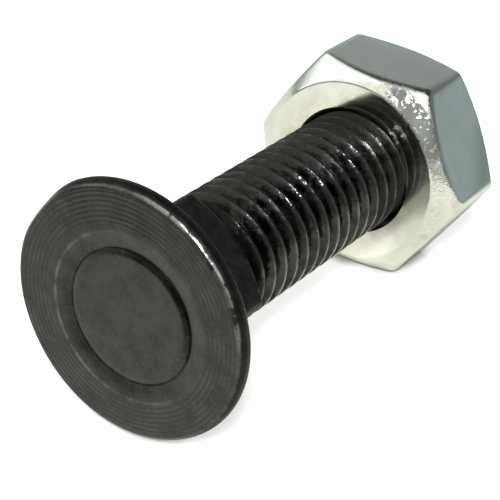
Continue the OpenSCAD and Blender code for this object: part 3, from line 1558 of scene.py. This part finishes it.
@dataclass(frozen=True)
class PaleFloor:
    """White table top that shows white to the camera and in the metal, and still takes a shadow.

    Args:
        colour: Colour of the table top.
        seen_glow: Light that the camera sees on top of what falls on the table.
        mirror_glow: The same in mirror-like metal and in glass.
        mirror_tint: Colour of that light.
        near: How far along the bolt metal sees the table bright, in metres from the middle.
        far: Where metal sees it dim, in metres from the middle.
        dim: Share of the light that is left there.
        past_dim: Share of the light that is left as far past the nut.
        past_tint: Colour of the light there.
        bright_spot: Place under the shank where the nut's face sees the table brightest.
        spot_reach: Distances from that place where the light starts to fall, and where it ends.
        spot_glow: Light that metal sees there.
        touch: How far from the part the table is dark where the part touches it.
        touch_dark: Light that the camera sees there.
        touch_open: How open the table is where it is darkest to the camera, and where it isn't dark.
        under_dark: Share of the light that metal sees where the part touches.
        under_open: How open the table is where it is darkest to metal, and where it isn't dark.
        samples: Rays that test how open the table is.
    """

    colour: Colour = (0.8, 0.8, 0.8, 1.0)
    seen_glow: float = 0.64
    mirror_glow: float = 0.12
    mirror_tint: Colour = (1.0, 0.99, 0.88, 1.0)
    near: float = 0.055
    far: float = 0.125
    dim: float = 0.2
    past_dim: float = 0.4
    past_tint: Colour = (0.84, 1.0, 1.0, 1.0)
    bright_spot: Triple = (0.01, 0.002, 0.0)
    spot_reach: Range = (0.003, 0.011)
    spot_glow: float = 0.7
    touch: float = 0.005
    touch_dark: float = 0.05
    touch_open: Range = (0.25, 0.65)
    under_dark: float = 0.2
    under_open: Range = (0.15, 0.45)
    samples: int = 8

    def material(self) -> Material:
        """Builds the material.

        Returns:
            The new material.
        """
        material, s = new_material("pale_floor")
        rays = s.node("ShaderNodeLightPath").outputs
        mirrored = s.math("MAXIMUM", rays["Is Glossy Ray"], rays["Is Transmission Ray"])
        spot = s.node("ShaderNodeTexCoord").outputs["Object"]
        covered = {"Distance": self.touch}
        open_sky = s.node("ShaderNodeAmbientOcclusion", covered, samples=self.samples).outputs["AO"]

        # Share of the light that metal sees
        along = s.parts(spot)["X"]
        ahead = s.ramp(along, (-self.far, -self.near), (self.dim, 1.0), smooth=True)
        past = s.ramp(along, (self.near, self.far))
        under = s.ramp(open_sky, self.under_open, (self.under_dark, 1.0), smooth=True)
        share = s.product(ahead, s.level(past, 1.0, self.past_dim), under)

        # Table top in the light that falls on it
        shown = s.minus(1.0, s.product(mirrored, s.minus(1.0, share)))
        tint = s.blend(past, self.mirror_tint, self.past_tint)
        tinted = s.vector("MULTIPLY", s.blend(mirrored, WHITE, tint), self.colour[:3])
        matt = s.node("ShaderNodeBsdfDiffuse", {"Color": s.scaled(tinted, shown)})

        # Light on top of that, for the camera and for metal
        touched = (self.touch_dark, self.seen_glow)
        seen_glow = s.ramp(open_sky, self.touch_open, touched, smooth=True)
        seen = s.node("ShaderNodeEmission", {"Strength": s.product(rays["Is Camera Ray"], seen_glow)})
        off_spot = s.vector("DISTANCE", spot, self.bright_spot)
        glow = s.ramp(off_spot, self.spot_reach, (self.spot_glow, self.mirror_glow))
        mirror = s.node(
            "ShaderNodeEmission",
            {"Color": tint, "Strength": s.product(mirrored, glow, share)},
        )
        light = s.node("ShaderNodeAddShader", {0: seen.outputs[0], 1: mirror.outputs[0]})
        both = s.node("ShaderNodeAddShader", {0: matt.outputs[0], 1: light.outputs[0]})
        s.node("ShaderNodeOutputMaterial", {"Surface": both.outputs[0]})
        return material


@dataclass(frozen=True)
class SoftBox:
    """Square lamp that shines at the bolt.

    Args:
        name: Name of the lamp.
        place: Where it hangs, in metres.
        side: Length of its side, in metres.
        power: Its power in watts.
        aim: Point that it faces, in metres.
    """

    name: str
    place: Triple
    side: float
    power: float
    aim: Triple = (0.0, 0.0, 0.015)

    def hang(self) -> None:
        """Hangs the lamp."""
        lamp = bpy.data.lights.new(self.name, "AREA")
        lamp.shape = "SQUARE"
        lamp.size = self.side
        lamp.energy = self.power
        holder = bpy.data.objects.new(self.name, lamp)
        holder.location = self.place
        sight = Vector(self.aim) - Vector(self.place)
        holder.rotation_euler = sight.to_track_quat("-Z", "Y").to_euler()
        bpy.context.scene.collection.objects.link(holder)


@dataclass(frozen=True)
class RoomWindow:
    """Bright place of the room that polished metal shows.

    Args:
        way: Way to it from the bolt, of length 1.
        strength: Brightness of its middle.
        spread: How far it reaches, as what the cosine of the angle from its middle falls by.
    """

    way: Triple
    strength: float
    spread: float

    def glow(self, s: Sketch, way: Socket) -> Socket:
        """Returns the socket of its brightness in one direction."""
        edges = (1.0 - self.spread, 1.0 - self.spread / 3)
        return s.ramp(s.toward(way, self.way), edges, (0.0, self.strength), smooth=True)


@dataclass(frozen=True)
class Viewpoint:
    """Camera that looks down at the head from above and to one side.

    Args:
        place: Where the camera stands, in metres.
        aim: Point in the middle of its picture, in metres.
        roll: Turn of the picture about the line of sight.
        field: Angle that the picture takes in, from edge to edge.
        clip: Nearest and farthest that it sees, in metres.
    """

    place: Triple = (-0.14363, -0.08153, 0.11596)
    aim: Triple = (-0.01275, -0.00339, 0.01651)
    roll: float = math.radians(7.25)
    field: float = math.radians(17.96)
    clip: Range = (0.005, 50.0)

    def set_up(self) -> None:
        """Puts the camera in the scene."""
        data = bpy.data.cameras.new("viewpoint")
        data.sensor_fit = "HORIZONTAL"
        data.angle = self.field
        data.clip_start, data.clip_end = self.clip
        camera = bpy.data.objects.new("viewpoint", data)
        sight = (Vector(self.aim) - Vector(self.place)).to_track_quat("-Z", "Y")
        turned = sight.to_matrix().to_4x4() @ Matrix.Rotation(self.roll, 4, "Z")
        camera.matrix_world = Matrix.Translation(self.place) @ turned
        bpy.context.scene.collection.objects.link(camera)
        bpy.context.scene.camera = camera


@dataclass
class Studio:
    """Floor, light and camera round the bolt.

    Places in the room are parts of the way to them, which has length 1.

    Args:
        floor: Finish of the floor.
        floor_side: Length of the floor's side, in metres.
        room_tint: Colour of the room's light.
        room_dark: Brightness of the room on the camera's side.
        room_bright: Brightness of the room on the other side.
        room_turn: Where the dark side ends and where the bright one starts, across the bolt.
        room_ahead: Share of that brightness before the head.
        room_behind: Where the room before the head ends and where the one past the nut starts.
        room_end: Brightness that the room has on top of that low down past the nut.
        room_end_height: Heights where that light starts to fall and where it ends.
        end_tint: Colour of that light.
        ceiling: Share of the walls' brightness that the ceiling has.
        ceiling_height: Heights where the walls end and where the ceiling starts.
        window_tint: Colour of the light in the room's bright places.
        windows: Bright places of the room.
        strip_place: Where the strip light over the head lies, along the bolt.
        strip_half: Half the width of the strip light.
        strip_height: Heights where the strip light starts and where it is all bright.
        strip_strength: Brightness of the strip light.
        boxes: Lamps.
        viewpoint: Camera.
    """

    floor: PaleFloor = field(default_factory=PaleFloor)
    floor_side: float = 12.0
    room_tint: Colour = (0.89, 1.0, 0.96, 1.0)
    room_dark: float = 0.16
    room_bright: float = 0.42
    room_turn: Range = (-0.35, 0.9)
    room_ahead: float = 0.6
    room_behind: Range = (-0.3, 0.4)
    room_end: float = 0.2
    room_end_height: Range = (0.1, 0.32)
    end_tint: Colour = (0.8, 1.0, 1.0, 1.0)
    ceiling: float = 0.25
    ceiling_height: Range = (0.55, 0.85)
    window_tint: Colour = (1.0, 0.99, 0.88, 1.0)
    windows: tuple[RoomWindow, ...] = (
        RoomWindow((-0.53, 0.64, 0.56), 0.9, 0.31),
        RoomWindow((-0.66, -0.72, 0.2), 0.25, 0.2),
    )
    strip_place: float = -0.4
    strip_half: float = 0.15
    strip_height: Range = (0.0, 0.25)
    strip_strength: float = 1.0
    boxes: tuple[SoftBox, ...] = (SoftBox("key_box", (-0.45, -0.22, 0.482), 0.11, 4.2),)
    viewpoint: Viewpoint = field(default_factory=Viewpoint)

    def _lay_floor(self) -> None:
        """Lays the floor."""
        half = self.floor_side / 2
        mesh = bpy.data.meshes.new("table_top")
        corners = [(-half, -half, 0.0), (half, -half, 0.0), (half, half, 0.0), (-half, half, 0.0)]
        mesh.from_pydata(corners, [], [(0, 1, 2, 3)])
        mesh.materials.append(self.floor.material())
        top = bpy.data.objects.new("table_top", mesh)
        bpy.context.scene.collection.objects.link(top)

    def _fill_room(self) -> None:
        """Gives the room its walls, the low light past the nut, the strip light and the windows."""
        world = bpy.data.worlds.new("room")
        world.use_nodes = True
        world.node_tree.nodes.clear()
        s = Sketch(world.node_tree)
        way = s.node("ShaderNodeTexCoord").outputs["Generated"]
        parts = s.parts(way)
        behind = s.ramp(parts["X"], self.room_behind)
        wall = s.product(
            s.ramp(parts["Y"], self.room_turn, (self.room_dark, self.room_bright)),
            s.level(behind, self.room_ahead, 1.0),
            s.ramp(parts["Z"], self.ceiling_height, (1.0, self.ceiling)),
        )
        low = s.product(s.ramp(parts["Z"], self.room_end_height, (self.room_end, 0.0)), behind)
        strip = s.ramp(
            s.apart(parts["X"], self.strip_place),
            (self.strip_half / 2, self.strip_half),
            (self.strip_strength, 0.0),
            smooth=True,
        )
        strip = s.product(strip, s.ramp(parts["Z"], self.strip_height))
        lights = [(self.room_tint, wall), (self.end_tint, low), (self.window_tint, strip)]
        lights += [(self.window_tint, window.glow(s, way)) for window in self.windows]
        glows = [
            s.node("ShaderNodeBackground", {"Color": tint, "Strength": strength}).outputs[0]
            for tint, strength in lights
        ]
        sky = glows[0]
        for glow in glows[1:]:
            sky = s.node("ShaderNodeAddShader", {0: sky, 1: glow}).outputs[0]
        s.node("ShaderNodeOutputWorld", {"Surface": sky})
        bpy.context.scene.world = world

    def set_up(self) -> None:
        """Puts the whole studio in the scene."""
        bpy.context.scene.view_settings.view_transform = "Standard"
        self._lay_floor()
        self._fill_room()
        for box in self.boxes:
            box.hang()
        self.viewpoint.set_up()


def main() -> None:
    """Builds the studio, the bolt and the nut."""
    logging.basicConfig(level=logging.INFO, format="%(message)s")
    Studio().set_up()
    thread = Thread()
    bolt = Bolt(thread)
    nut = Nut(thread)
    rest = Rest(bolt, nut)
    laid = rest.matrix()
    effects = SharedEffects(rest)
    threads = ThreadTree()
    faces = TurnedFaceTree()
    pieces = [
        bolt.build(laid, threads, faces, OiledBlackSteel(bolt).material(effects)),
        nut.build(laid, threads, BrightZinc(nut).material(effects)),
    ]


if __name__ == "__main__":
    main()
